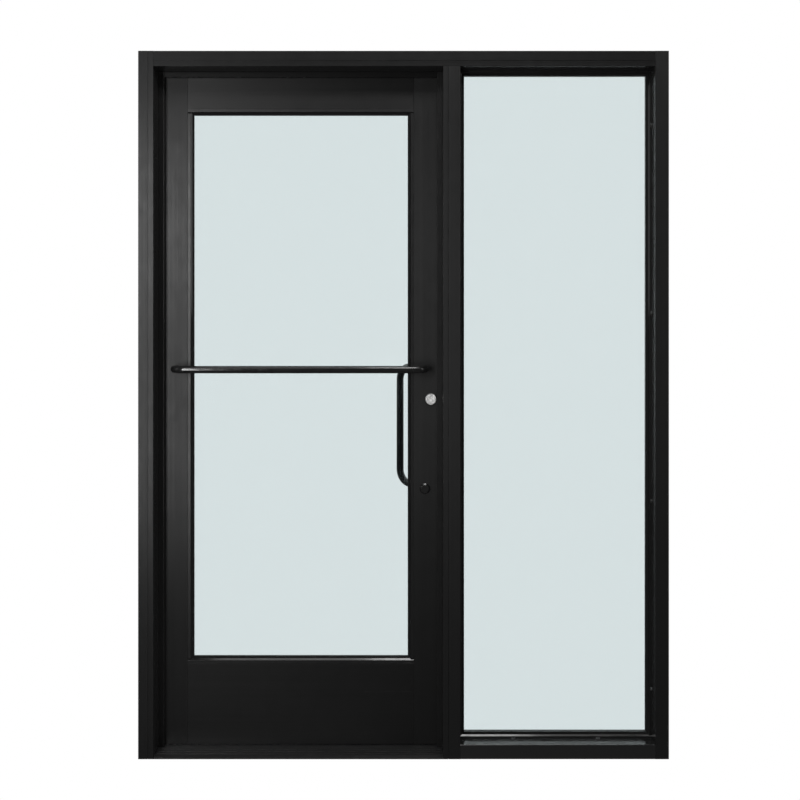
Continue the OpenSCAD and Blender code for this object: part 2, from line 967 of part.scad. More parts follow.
module hinge_stile() {
    color(black_coat)
        difference() {
            run_left(leaf_box)
                leaf_tube(stile_w);
            hinge_plate_cuts(x_leaf0, 1);
            leaf_clip_holes();
            bolt_hole(bar_x0, bar_z);
        }
}

// Hole for a handle bolt through both faces of a stile
module bolt_hole(x, z) {
    translate([x, y_leaf0 - past, z])
        rotate([-90, 0, 0])
            cylinder(h = leaf_t + 2 * past, d = bolt_d + 2 * bolt_clear);
}

module lock_stile() {
    color(black_coat)
        difference() {
            run_right(leaf_box)
                leaf_tube(stile_w);
            leaf_clip_holes();
            bolt_hole(bar_x1, bar_z);
            bolt_hole(bar_x1, pull_z0);
            translate([cyl_x, y_leaf0 - past, cyl_z])
                rotate([-90, 0, 0])
                    cylinder(h = leaf_t + 2 * past, d = cyl_d + 2 * fit);
            translate([x_leaf1 - leaf_wall - past, y_leaf_mid - plate_w / 2 - fit, plate_z0 - fit])
                cube([leaf_wall + 2 * past, plate_w + 2 * fit, plate_z1 - plate_z0 + 2 * fit]);
        }
}

module top_rail() {
    color(black_coat)
        run_top([door_light[0], door_light[1], leaf_bottom, z_leaf1])
            leaf_tube(top_rail_h);
}

module bottom_rail() {
    color(black_coat)
        run_bottom([door_light[0], door_light[1], leaf_bottom, z_leaf1])
            leaf_tube(bottom_rail_h);
}

module door_sweep() {
    drop = leaf_bottom - threshold_h - 0.8;
    color(black_rubber)
        translate([x_leaf0 + 2, y_leaf_mid - sweep_t / 2, leaf_bottom - drop])
            cube([x_leaf1 - x_leaf0 - 4, sweep_t, drop]);
}

// ---------------------------------------------------------------- door glazing

module bead_inside() {
    face_inside(y_leaf0 + bead_t)
        bead_section(bead_w, bead_t, bead_wall, bead_slope);
}

module door_bead_left() {
    color(black_coat)
        run_left(door_light, bead_w, bead_w)
            bead_inside();
}

module door_bead_right() {
    color(black_coat)
        run_right(door_light, bead_w, bead_w)
            bead_inside();
}

module door_bead_top() {
    color(black_coat)
        run_top(door_light)
            bead_inside();
}

module door_bead_bottom() {
    color(black_coat)
        run_bottom(door_light)
            bead_inside();
}

module door_outer_beads() {
    color(black_coat)
        run_round(door_light, outer_bead_w, butt_gap)
            face_outside(y_out - bead_t)
                bead_section(outer_bead_w, bead_t, bead_wall, sight_edge);
}

module door_gaskets() {
    gasket_set(door_light, y_door_unit, bead_w, bead_lip, outer_bead_w);
}

module door_inner_pane() {
    pane(door_light, y_door_unit);
}

module door_outer_pane() {
    pane(door_light, y_door_unit + pane_t + air_space);
}

module door_spacer() {
    spacer(door_light, y_door_unit);
}

module door_setting_blocks() {
    setting_blocks(door_light, y_door_unit);
}

// ---------------------------------------------------------------- push bar and pull handle

// Quarter bend in the XY plane, from the direction +X round to +Y
module quarter_bend(radius) {
    rotate_extrude(angle = 90)
        translate([radius, 0])
            circle(d = rod_d);
}

// Tapped hole for a mounting bolt, along +Y from zero
module tapped_hole(depth) {
    translate([0, -past, 0])
        rotate([-90, 0, 0])
            cylinder(h = depth + past, d = bolt_d + 0.2);
}

// Round bar with both ends bent back to the leaf
module push_bar() {
    y_bar = y_leaf0 - bar_off;
    color(black_coat)
        difference() {
            union() {
                translate([bar_x0 + bar_bend, y_bar, bar_z])
                    rotate([0, 90, 0])
                        cylinder(h = bar_x1 - bar_x0 - 2 * bar_bend, d = rod_d);
                translate([bar_x0 + bar_bend, y_bar + bar_bend, bar_z])
                    rotate(180)
                        quarter_bend(bar_bend);
                translate([bar_x1 - bar_bend, y_bar + bar_bend, bar_z])
                    rotate(270)
                        quarter_bend(bar_bend);
                for (x = [bar_x0, bar_x1])
                    translate([x, y_bar + bar_bend, bar_z])
                        rotate([-90, 0, 0])
                            cylinder(h = bar_off - bar_bend, d = rod_d);
            }
            for (x = [bar_x0, bar_x1])
                translate([x, y_leaf0, bar_z])
                    mirror([0, 1, 0])
                        tapped_hole(bolt_in_bar + 1);
        }
}

// Upright grip on two legs that run slantwise, out from the leaf and towards the glass
module pull_handle() {
    leg_len = pull_leg - pull_bend;
    color(black_coat)
        difference() {
            translate([bar_x1, y_out, pull_z0])
                rotate(135) {
                    for (z = [0, pull_cc])
                        translate([-rod_d, 0, z])
                            rotate([0, 90, 0])
                                cylinder(h = leg_len + rod_d, d = rod_d);
                    translate([leg_len, 0, pull_bend])
                        rotate([90, 0, 0])
                            rotate(270)
                                quarter_bend(pull_bend);
                    translate([leg_len, 0, pull_cc - pull_bend])
                        rotate([90, 0, 0])
                            quarter_bend(pull_bend);
                    translate([pull_leg, 0, pull_bend])
                        cylinder(h = pull_cc - 2 * pull_bend, d = rod_d);
                }
            translate([bar_x1 - 2 * rod_d, y_out - 3 * rod_d, pull_z0 - rod_d])
                cube([4 * rod_d, 3 * rod_d, pull_cc + 2 * rod_d]);
            for (z = [pull_z0, bar_z])
                translate([bar_x1, y_out, z])
                    tapped_hole(bolt_in_pull + 0.3);
        }
}

// A stud between bar and handle, a bolt for the handle's lower leg and one for the bar's far end
module handle_bolts() {
    color(dark_metal) {
        translate([bar_x1, y_leaf0 - bolt_in_bar, bar_z])
            rotate([-90, 0, 0])
                cylinder(h = bolt_in_bar + leaf_t + bolt_in_pull, d = bolt_d);
        translate([bar_x1, y_leaf0, pull_z0])
            rotate([-90, 0, 0]) {
                cylinder(h = leaf_t + bolt_in_pull, d = bolt_d);
                translate([0, 0, -bolt_head_h])
                    cylinder(h = bolt_head_h, d = bolt_head_d);
            }
        translate([bar_x0, y_out, bar_z])
            rotate([90, 0, 0]) {
                cylinder(h = leaf_t + bolt_in_bar, d = bolt_d);
                translate([0, 0, -bolt_head_h])
                    cylinder(h = bolt_head_h, d = bolt_head_d);
            }
    }
}

// Round cover with its open back at zero, standing up +Z
module bolt_cover() {
    rim = 1.2;
    difference() {
        union() {
            cylinder(h = rim, d = cap_d);
            translate([0, 0, rim])
                cylinder(h = cap_h - rim, d1 = cap_d, d2 = cap_d - 9);
        }
        translate([0, 0, -past])
            cylinder(h = bolt_head_h + 0.3 + past, d = bolt_head_d + 2);
    }
}

module bolt_covers() {
    color(black_coat) {
        translate([bar_x1, y_leaf0, pull_z0])
            rotate([90, 0, 0])
                bolt_cover();
        translate([bar_x0, y_out, bar_z])
            rotate([-90, 0, 0])
                bolt_cover();
    }
}

// ---------------------------------------------------------------- lock

// Extrudes an outline drawn in X and Z to a thickness t, centred on the plane y
module upright_plate(y, t) {
    translate([0, y + t / 2, 0])
        rotate([90, 0, 0])
            linear_extrude(t)
                children();
}

// Stepped outline of the lock case, drawn inset by w and open at the front if w is not zero
module case_outline(w) {
    front = case_x1 + (w > 0 ? past : 0);
    polygon([
        [case_x0 + w, case_z0 + w], [front, case_z0 + w], [front, case_z1 - w],
        [case_x_step + w, case_z1 - w], [case_x_step + w, case_z_step - w], [case_x0 + w, case_z_step - w]
    ]);
}

module lock_case() {
    color(mill_metal) {
        difference() {
            upright_plate(y_leaf_mid, case_t)
                case_outline(0);
            upright_plate(y_leaf_mid, case_t - 2 * case_wall)
                case_outline(case_wall);
            translate([cyl_x, y_leaf_mid, cyl_z])
                rotate([90, 0, 0])
                    cylinder(h = case_t + 2 * past, d = cyl_d + 2 * fit, center = true);
        }
        translate([pivot_x, y_leaf_mid, pivot_z])
            rotate([90, 0, 0])
                cylinder(h = case_t - 2 * case_wall + 0.4, d = pivot_pin_d, center = true);
    }
}

module lock_faceplate() {
    color(bright_metal)
        difference() {
            translate([case_x1, y_leaf_mid - plate_w / 2, plate_z0])
                cube([leaf_wall, plate_w, plate_z1 - plate_z0]);
            translate([case_x1 - past, y_leaf_mid - slot_w / 2, slot_z0])
                cube([leaf_wall + 2 * past, slot_w, slot_z1 - slot_z0]);
            at_faceplate_screws()
                csk_screw(0.1);
        }
}

// Swinging bolt that stands upright in the case when it is drawn back
module deadbolt() {
    tip_break = 2;
    half = deadbolt_w / 2;
    shoulder = deadbolt_len - tip_break;
    color(bright_metal)
        upright_plate(y_leaf_mid, deadbolt_t)
            translate([pivot_x, pivot_z])
                difference() {
                    union() {
                        circle(r = half);
                        polygon([
                            [-half, 0], [half, 0], [half, shoulder], [half - tip_break, deadbolt_len],
                            [tip_break - half, deadbolt_len], [-half, shoulder]
                        ]);
                    }
                    circle(d = pivot_pin_d + 0.12);
                }
}

module strike_plate() {
    color(bright_metal)
        difference() {
            translate([x_strike, y_leaf_mid - strike_w / 2, strike_z0])
                cube([strike_t, strike_w, strike_z1 - strike_z0]);
            strike_slot(-0.5);
            at_strike_screws()
                csk_screw(0.1);
        }
}

// Puts a piece on the leaf's inside face (side -1) or outside face (side 1), pointing out of it
module on_face(side, z) {
    translate([cyl_x, side < 0 ? y_leaf0 : y_out, z])
        rotate([-90 * side, 0, 0])
            children();
}

// Conical ring round a key cylinder
module collar() {
    difference() {
        union() {
            cylinder(h = collar_h * 0.4, d = collar_d);
            translate([0, 0, collar_h * 0.4])
                cylinder(h = collar_h * 0.6, d1 = collar_d, d2 = collar_d - 4);
        }
        translate([0, 0, -past])
            cylinder(h = collar_h + 2 * past, d = cyl_d + 2 * fit);
    }
}

module cylinder_collars() {
    color(bright_metal)
        for (side = [-1, 1])
            on_face(side, cyl_z)
                collar();
}

module cylinder_body(side) {
    color(bright_metal)
        difference() {
            on_face(side, cyl_z)
                translate([0, 0, -cyl_len])
                    cylinder(h = cyl_len + collar_h, d = cyl_d);
            on_face(side, plug_z)
                translate([0, 0, -cyl_len - past])
                    cylinder(h = cyl_len + collar_h + 2 * past, d = plug_d + 2 * plug_clear);
        }
}

// Key plug with its keyway, and the cam that moves the bolt
module key_plug(side) {
    keyway_w = 2;
    keyway_h = 8.5;
    keyway_depth = 9;
    cam_w = 7;
    color(bright_metal)
        on_face(side, plug_z)
            difference() {
                union() {
                    translate([0, 0, -cyl_len - cam_gap])
                        cylinder(h = cyl_len + cam_gap + collar_h + 0.4, d = plug_d);
                    translate([0, 0, -cyl_len - cam_gap - cam_t]) {
                        cylinder(h = cam_t, d = plug_d + 4);
                        translate([-cam_w / 2, side < 0 ? 0 : -cam_reach, 0])
                            cube([cam_w, cam_reach, cam_t]);
                    }
                }
                translate([-keyway_w / 2, -keyway_h / 2, collar_h - keyway_depth])
                    cube([keyway_w, keyway_h, keyway_depth + past]);
            }
}

// ---------------------------------------------------------------- output

hinge_jamb();
mullion();
sidelite_jamb();
header();
sidelite_sill();
threshold();
frame_clips();
frame_screws();
anchor_screws();
hinge_door_stop();
lock_door_stop();
header_door_stop();
weather_seals();
sidelite_inner_stops();
sidelite_outer_stops();
sidelite_gaskets();
sidelite_inner_pane();
sidelite_outer_pane();
sidelite_spacer();
sidelite_setting_blocks();
strike_plate();
jamb_backer_plates();
hinge_frame_leaf(2);  // top_hinge_frame_leaf
hinge_frame_leaf(1);  // middle_hinge_frame_leaf
hinge_frame_leaf(0);  // bottom_hinge_frame_leaf
hinge_pins();
hinge_stile();
lock_stile();
top_rail();
bottom_rail();
leaf_clips();
leaf_screws();
door_bead_left();
door_bead_right();
door_bead_top();
door_bead_bottom();
door_outer_beads();
door_gaskets();
door_inner_pane();
door_outer_pane();
door_spacer();
door_setting_blocks();
door_sweep();
stile_backer_plates();
hinge_door_leaf(2);  // top_hinge_door_leaf
hinge_door_leaf(1);  // middle_hinge_door_leaf
hinge_door_leaf(0);  // bottom_hinge_door_leaf
push_bar();
pull_handle();
handle_bolts();
bolt_covers();
lock_case();
lock_faceplate();
deadbolt();
cylinder_collars();
cylinder_body(-1);  // inner_cylinder
key_plug(-1);  // inner_key_plug
cylinder_body(1);  // outer_cylinder
key_plug(1);  // outer_key_plug
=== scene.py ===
import math

import bpy
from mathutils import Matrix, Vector


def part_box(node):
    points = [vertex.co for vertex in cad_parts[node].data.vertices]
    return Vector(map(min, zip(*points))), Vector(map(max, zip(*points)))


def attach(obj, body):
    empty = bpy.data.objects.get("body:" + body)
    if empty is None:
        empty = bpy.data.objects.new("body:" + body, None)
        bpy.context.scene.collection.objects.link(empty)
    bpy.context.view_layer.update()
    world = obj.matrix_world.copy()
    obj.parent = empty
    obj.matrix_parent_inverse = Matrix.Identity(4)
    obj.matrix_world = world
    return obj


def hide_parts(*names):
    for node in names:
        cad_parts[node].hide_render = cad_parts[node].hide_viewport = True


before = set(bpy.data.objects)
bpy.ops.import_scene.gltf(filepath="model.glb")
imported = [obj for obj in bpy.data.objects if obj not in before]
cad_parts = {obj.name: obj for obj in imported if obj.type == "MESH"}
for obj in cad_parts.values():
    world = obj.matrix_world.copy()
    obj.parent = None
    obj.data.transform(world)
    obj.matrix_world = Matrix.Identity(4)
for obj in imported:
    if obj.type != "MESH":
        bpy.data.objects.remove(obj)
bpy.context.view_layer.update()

MM = 0.001


# ------------------------------------------------------------------ shader helpers

class Graph:
    """One material's nodes, built with short calls."""

    # Places of the colour sockets on a Mix node
    FIRST_COLOUR, SECOND_COLOUR, BLENDED_COLOUR = 6, 7, 2

    def __init__(self, name):
        self.material = bpy.data.materials.new(name)
        self.material.use_nodes = True
        self.nodes = self.material.node_tree.nodes
        self.links = self.material.node_tree.links
        self.bsdf = self.nodes["Principled BSDF"]

    def node(self, kind, inputs=None, **settings):
        made = self.nodes.new(kind)
        for key, value in settings.items():
            setattr(made, key, value)
        for key, value in (inputs or {}).items():
            self.feed(made, key, value)
        return made

    def feed(self, node, key, value):
        """Sets a socket to a number or colour, or links another node's output to it."""
        if isinstance(value, bpy.types.NodeSocket):
            self.links.new(value, node.inputs[key])
        else:
            node.inputs[key].default_value = value

    def shade(self, **inputs):
        for key, value in inputs.items():
            self.feed(self.bsdf, key.replace("_", " "), value)

    def math(self, operation, a, b=0.0, clamp=False):
        return self.node("ShaderNodeMath", {0: a, 1: b}, operation=operation,
                         use_clamp=clamp).outputs[0]

    def ramp(self, value, low, high, to_low, to_high):
        """Maps value from low..high to to_low..to_high, and holds it beyond them."""
        return self.node("ShaderNodeMapRange", {
            "Value": value, "From Min": low, "From Max": high,
            "To Min": to_low, "To Max": to_high}).outputs[0]

    def noise(self, scale, detail=3.0, roughness=0.55, offset=(0, 0, 0)):
        """Noise over the object's own metres, with its own scale along each axis."""
        place = self.node("ShaderNodeTexCoord").outputs["Object"]
        stretched = self.node("ShaderNodeMapping", {
            "Vector": place, "Scale": scale, "Location": offset}).outputs[0]
        return self.node("ShaderNodeTexNoise", {
            "Vector": stretched, "Scale": 1.0, "Detail": detail,
            "Roughness": roughness}).outputs[0]

    def bump(self, height, strength, distance, normal=None):
        made = self.node("ShaderNodeBump", {
            "Height": height, "Strength": strength, "Distance": distance})
        if normal is not None:
            self.feed(made, "Normal", normal)
        return made.outputs[0]

    def rounded(self, radius):
        return self.node("ShaderNodeBevel", {"Radius": radius}, samples=4).outputs[0]

    def edge_mask(self, soft_normal, low=0.002, high=0.06):
        """One along edges, where the rounded normal leaves the flat one, and zero elsewhere."""
        flat = self.node("ShaderNodeNewGeometry").outputs["Normal"]
        same = self.node("ShaderNodeVectorMath", {0: soft_normal, 1: flat},
                         operation="DOT_PRODUCT").outputs["Value"]
        return self.ramp(self.math("SUBTRACT", 1.0, same), low, high, 0.0, 1.0)

    def facing_front(self):
        """How far the face looks to the front or the back of the door, from zero to one."""
        flat = self.node("ShaderNodeSeparateXYZ", {
            0: self.node("ShaderNodeNewGeometry").outputs["Normal"]})
        return self.math("ABSOLUTE", flat.outputs[1])

    def grey(self, value):
        """A neutral colour from a number."""
        return self.node("ShaderNodeCombineColor", {
            "Red": value, "Green": value, "Blue": value}).outputs[0]

    def blend(self, factor, first, second):
        """The first colour at factor zero and the second at one."""
        made = self.node("ShaderNodeMix", data_type="RGBA")
        self.feed(made, "Factor", factor)
        self.feed(made, self.FIRST_COLOUR, first)
        self.feed(made, self.SECOND_COLOUR, second)
        return made.outputs[self.BLENDED_COLOUR]


# ------------------------------------------------------------------ materials

LINES_UP = (620.0, 620.0, 0.6)       # die lines that run up a part
LINES_ALONG = (0.6, 620.0, 620.0)    # die lines that run along a part
NO_LINES = (240.0, 240.0, 240.0)
WIDER = 0.24                         # the broader streaks keep this share of the line count
EDGE_ROUNDING = 0.7 * MM             # seen on the edges of coated parts
SIDE_RELIEF = 0.12                   # share of the lines' and peel's depth on narrow sides

# The rub mark on the bottom rail: its middle, half lengths of its full and faded parts, and
# half heights of the same
SCUFF_X, SCUFF_Z = -0.050, 0.168
SCUFF_LENGTH = (0.060, 0.090)
SCUFF_HEIGHT = (0.0004, 0.0020)


def black_coating(name, tone, rough, lines=LINES_UP, grain=0.5, wear=0.35, scuff=None,
                  sides=0.19, drawn=0.55, gloss=0.5):
    """Satin black coating on an aluminium extrusion: die lines, fine peel, rubbed edges.
    The narrow sides and slopes are smoother than the wide faces by the value of sides, and
    show less of the lines and the peel."""
    g = Graph(name)
    patches = g.noise((3.0, 3.0, 2.2), 2.0)
    die_lines = g.noise(lines, 2.0, 0.6)
    peel = g.noise((1900.0, 1900.0, 1900.0), 1.0)
    dust = g.noise((34.0, 34.0, 26.0), 4.0, 0.65)
    soft = g.rounded(EDGE_ROUNDING)
    worn = g.math("MULTIPLY", g.edge_mask(soft), g.ramp(dust, 0.42, 0.66, 0.0, wear))
    value = g.math("ADD", g.ramp(patches, 0.3, 0.7, tone * 0.93, tone * 1.07),
                   g.ramp(die_lines, 0.3, 0.7, -0.12 * tone, 0.12 * tone))
    value = g.math("ADD", value, g.math("MULTIPLY", worn, 0.05))
    if scuff is not None:
        value = g.math("ADD", value, scuff(g))
    streaks = g.noise(tuple(n * WIDER for n in lines), 3.0, 0.6, offset=(3.1, 0.7, 1.9))
    roughness = g.math("ADD", g.ramp(dust, 0.3, 0.7, rough - 0.03, rough + 0.04),
                       g.ramp(die_lines, 0.3, 0.7, -0.02, 0.02))
    roughness = g.math("ADD", roughness, g.ramp(streaks, 0.3, 0.7, -0.035, 0.035))
    roughness = g.math("SUBTRACT", roughness, g.math("MULTIPLY", worn, 0.12))
    wide_face = g.ramp(g.facing_front(), 0.75, 0.95, 0.0, 1.0)
    smoother = g.math("MULTIPLY", g.math("SUBTRACT", 1.0, wide_face), sides)
    relief = g.math("MULTIPLY", g.ramp(wide_face, 0.0, 1.0, SIDE_RELIEF, 1.0), grain)
    fine = g.bump(die_lines, g.math("MULTIPLY", relief, 0.10), 0.12 * MM, soft)
    g.shade(Base_Color=g.grey(value), Roughness=g.math("SUBTRACT", roughness, smoother),
            Normal=g.bump(peel, g.math("MULTIPLY", relief, 0.06), 0.05 * MM, fine))
    if lines != NO_LINES:
        axis = "Z" if lines == LINES_UP else "X"
        tangent = g.node("ShaderNodeTangent", direction_type="RADIAL", axis=axis)
        g.shade(Anisotropic=drawn, Tangent=tangent.outputs[0])
    g.bsdf.inputs["Specular IOR Level"].default_value = gloss
    return g.material


def rail_scuff(g):
    """A faint level rub mark low on the bottom rail, near its lock end."""
    place = g.node("ShaderNodeSeparateXYZ", {
        0: g.node("ShaderNodeTexCoord").outputs["Object"]})
    height = g.math("ABSOLUTE", g.math("SUBTRACT", place.outputs[2], SCUFF_Z))
    across = g.math("ABSOLUTE", g.math("SUBTRACT", place.outputs[0], SCUFF_X))
    band = g.math("MULTIPLY", g.ramp(height, *SCUFF_HEIGHT, 1.0, 0.0),
                  g.ramp(across, *SCUFF_LENGTH, 1.0, 0.0))
    broken = g.ramp(g.noise((46.0, 500.0, 700.0), 2.0), 0.42, 0.6, 0.0, 1.0)
    return g.math("MULTIPLY", g.math("MULTIPLY", band, broken), 0.012)


def rubber(name, tone, rough):
    """Extruded black rubber: dull, with faint drawn lines and a dusty bloom."""
    g = Graph(name)
    bloom = g.noise((60.0, 60.0, 40.0), 4.0, 0.6)
    drawn = g.noise((900.0, 900.0, 900.0), 2.0)
    g.shade(Base_Color=g.grey(g.ramp(bloom, 0.3, 0.7, tone * 0.8, tone * 1.35)),
            Roughness=g.ramp(bloom, 0.3, 0.7, rough - 0.06, rough + 0.08),
            Normal=g.bump(drawn, 0.18, 0.08 * MM))
    g.bsdf.inputs["Specular IOR Level"].default_value = 0.2
    return g.material


def bare_metal(name, colour, rough, lines=NO_LINES, stain=0.12):
    """Bare or plated metal with fine machining marks and a little staining."""
    g = Graph(name)
    marks = g.noise(lines, 3.0, 0.6)
    cloud = g.noise((70.0, 70.0, 70.0), 3.0, 0.6)
    soft = g.rounded(0.3 * MM)
    dark = tuple(c * (1 - stain) for c in colour) + (1.0,)
    g.shade(Base_Color=g.blend(g.ramp(cloud, 0.35, 0.7, 0.0, 1.0), tuple(colour) + (1.0,), dark),
            Roughness=g.math("ADD", g.ramp(cloud, 0.3, 0.7, rough - 0.05, rough + 0.06),
                             g.ramp(marks, 0.3, 0.7, -0.05, 0.05)),
            Normal=g.bump(marks, 0.12, 0.05 * MM, soft))
    g.bsdf.inputs["Metallic"].default_value = 1.0
    return g.material


def pane_glass(name, tint):
    """Clear tempered glass: smooth, with a very slight roller wave."""
    g = Graph(name)
    wave = g.noise((2.0, 2.0, 5.0), 1.0)
    smear = g.noise((9.0, 9.0, 5.0), 3.0, 0.6)
    g.shade(Normal=g.bump(wave, 0.02, 0.02 * MM),
            Roughness=g.ramp(smear, 0.45, 0.8, 0.0, 0.012))
    g.bsdf.inputs["Base Color"].default_value = tuple(tint) + (1.0,)
    g.bsdf.inputs["Transmission Weight"].default_value = 1.0
    g.bsdf.inputs["IOR"].default_value = 1.45
    return g.material


FRAME_UP = black_coating("frame_coating_up", 0.0110, 0.40)
# Header coating: a darker, less glossy copy of the frame coating, as painted shade that dims the
# header.
FRAME_ALONG_SHADED = black_coating("frame_coating_along_painted_shade", 0.0100, 0.34, LINES_ALONG, drawn=0.1,
                            gloss=0.25)
# Sidelite sill coating: a lighter, glossier copy of the frame coating, as painted light that
# brightens the sill.
SILL_PAINTED_LIGHT = black_coating("sill_coating_painted_light", 0.0130, 0.36, LINES_ALONG, sides=0.18, drawn=0.1,
                     gloss=0.75)
LEAF_UP = black_coating("leaf_coating_up", 0.0110, 0.40)
# Rail coating: a less glossy copy of the stile coating, as painted shade that dims the rails.
LEAF_ALONG_SHADED = black_coating("leaf_coating_along_painted_shade", 0.0110, 0.38, LINES_ALONG,
                           scuff=rail_scuff, drawn=0.2, gloss=0.36)
TRIM = black_coating("trim_coating", 0.0110, 0.36, NO_LINES, sides=0.26)
# Stop under the header: a darker, duller copy of the trim coating, as the header's painted
# shadow on it.
HEAD_STOP_PAINTED_SHADOW = black_coating("head_stop_coating_painted_shadow", 0.0100, 0.44, LINES_ALONG, drawn=0.1, gloss=0.14)
THRESHOLD = black_coating("threshold_coating", 0.0130, 0.40, LINES_ALONG, wear=0.9,
                          sides=0.06, drawn=0.2, gloss=0.8)
HANDLE = black_coating("handle_coating", 0.0070, 0.14, NO_LINES, grain=0.4, wear=0.5,
                       sides=0.0, gloss=1.0)
HINGE = black_coating("hinge_coating", 0.0110, 0.38, NO_LINES, wear=0.7)
BLACK_SCREW = black_coating("black_screws", 0.0400, 0.28, NO_LINES, wear=1.0, sides=0.0,
                            gloss=1.0)
RUBBER = rubber("rubber", 0.0065, 0.62)
GLASS = pane_glass("glass", (0.872, 0.920, 0.925))
SPACER = black_coating("spacer", 0.0140, 0.50, NO_LINES)
SILVER = bare_metal("satin_silver", (0.86, 0.86, 0.85), 0.17)
LOCK_STEEL = bare_metal("lock_steel", (0.56, 0.56, 0.57), 0.36)
MILL = bare_metal("mill_aluminium", (0.66, 0.66, 0.67), 0.38)
STEEL = bare_metal("plain_steel", (0.50, 0.50, 0.51), 0.42)

NODE_MATERIALS = {
    FRAME_UP: ["hinge_jamb", "mullion", "sidelite_jamb"],
    FRAME_ALONG_SHADED: ["header"],
    SILL_PAINTED_LIGHT: ["sidelite_sill"],
    THRESHOLD: ["threshold"],
    LEAF_UP: ["hinge_stile", "lock_stile"],
    LEAF_ALONG_SHADED: ["top_rail", "bottom_rail"],
    HEAD_STOP_PAINTED_SHADOW: ["header_door_stop"],
    TRIM: ["hinge_door_stop", "lock_door_stop", "sidelite_inner_stops",
           "sidelite_outer_stops", "door_bead_left", "door_bead_right", "door_bead_top",
           "door_bead_bottom", "door_outer_beads", "bolt_covers"],
    HANDLE: ["push_bar", "pull_handle"],
    HINGE: ["top_hinge_frame_leaf", "middle_hinge_frame_leaf", "bottom_hinge_frame_leaf",
            "top_hinge_door_leaf", "middle_hinge_door_leaf", "bottom_hinge_door_leaf"],
    BLACK_SCREW: ["frame_screws", "leaf_screws", "anchor_screws"],
    RUBBER: ["sidelite_setting_blocks", "door_setting_blocks"],
    GLASS: ["door_inner_pane", "door_outer_pane", "sidelite_inner_pane",
            "sidelite_outer_pane"],
    SPACER: ["door_spacer", "sidelite_spacer"],
    SILVER: ["cylinder_collars", "inner_cylinder", "outer_cylinder", "inner_key_plug",
             "outer_key_plug"],
    LOCK_STEEL: ["lock_faceplate", "deadbolt", "strike_plate"],
    MILL: ["frame_clips", "leaf_clips", "lock_case"],
    STEEL: ["hinge_pins", "handle_bolts", "jamb_backer_plates", "stile_backer_plates"],
}


def dress_nodes():
    for material, names in NODE_MATERIALS.items():
        for name in names:
            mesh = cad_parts[name].data
            mesh.materials.clear()
            mesh.materials.append(material)


# ------------------------------------------------------------------ rubber pieces

# Each gasket's (bead width, lip): the beads and stops hide the first, the lip shows
DOOR_INSIDE_GASKET = (12.7 * MM, 5.3 * MM)
DOOR_OUTSIDE_GASKET = (8.6 * MM, 1.0 * MM)
SIDELITE_INSIDE_GASKET = (8.0 * MM, 6.3 * MM)
SIDELITE_OUTSIDE_GASKET = (7.0 * MM, 1.0 * MM)


def rubber_piece(name, verts, faces, body, node):
    """A smooth rubber object that stands in for a CAD node and rides on its body."""
    mesh = bpy.data.meshes.new(name)
    mesh.from_pydata(verts, [], faces)
    mesh.update()
    made = bpy.data.objects.new(name, mesh)
    bpy.context.scene.collection.objects.link(made)
    mesh.materials.append(RUBBER)
    for polygon in mesh.polygons:
        polygon.use_smooth = True
    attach(made, body)
    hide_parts(node)


def loft(rows, closed):
    """Faces that join rows of points with equal lengths. Closed rows go round to the first."""
    count = len(rows[0])
    verts = [p for row in rows for p in row]
    faces = []
    turns = len(rows) if closed else len(rows) - 1
    for r in range(turns):
        a, b = r * count, (r + 1) % len(rows) * count
        for i in range(count):
            j = (i + 1) % count
            faces.append((a + i, a + j, b + j, b + i))
    if not closed:
        faces.append(tuple(range(count - 1, -1, -1)))
        faces.append(tuple(range(len(verts) - count, len(verts))))
    return verts, faces


def ring_rows(light, section, y_of):
    """A section swept round the rectangle light = (x0, x1, z0, z1) with mitred corners.
    A section point is (distance in from the side, depth)."""
    x0, x1, z0, z1 = light
    corners = [(x0, z0, 1, 1), (x1, z0, -1, 1), (x1, z1, -1, -1), (x0, z1, 1, -1)]
    return [[(x + sx * u, y_of(v), z + sz * u) for u, v in section]
            for x, z, sx, sz in corners]


def gasket_profile(edge, lip, seat=5.0 * MM, thick=3.0 * MM, nose=4.2 * MM):
    """Wedge gasket: a flat tongue behind the bead and a curved lip that leans on the glass."""
    shoulder, tip = min(1.2 * MM, 0.6 * lip), min(0.3 * MM, 0.3 * lip)
    points = [(edge - seat, 0.05 * MM), (edge + lip - tip, 0.05 * MM),
              (edge + lip, 0.25 * MM), (edge + lip, 0.6 * MM), (edge + lip - tip, 0.8 * MM)]
    steps = 8
    for i in range(1, steps):
        t = i / steps
        u = edge + lip - tip + t * (shoulder + tip - lip)
        sag = 0.06 * lip * math.sin(math.pi * t)
        points.append((u, 0.8 * MM + (nose - 1.1 * MM) * t - sag))
    points += [(edge + shoulder, nose - 0.2 * MM), (edge + 0.6 * shoulder, nose),
               (edge + 0.25 * shoulder, nose - 0.05 * MM), (edge + 0.02 * MM, nose - 0.3 * MM),
               (edge + 0.02 * MM, thick), (edge - seat, thick)]
    return points


def glazing_gaskets(name, pane_nodes, node, body, light, inside, outside):
    """The two gaskets of one glass unit. Inside and outside are (bead width, lip)."""
    y_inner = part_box(pane_nodes[0])[0].y
    y_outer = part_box(pane_nodes[1])[1].y
    inner_rows = ring_rows(light, gasket_profile(*inside), lambda v: y_inner - v)
    outer_rows = ring_rows(light, gasket_profile(*outside), lambda v: y_outer + v)
    verts, faces = loft(inner_rows, True)
    more, more_faces = loft(outer_rows, True)
    faces += [tuple(len(verts) + i for i in reversed(f)) for f in more_faces]
    rubber_piece(name, verts + more, faces, body, node)


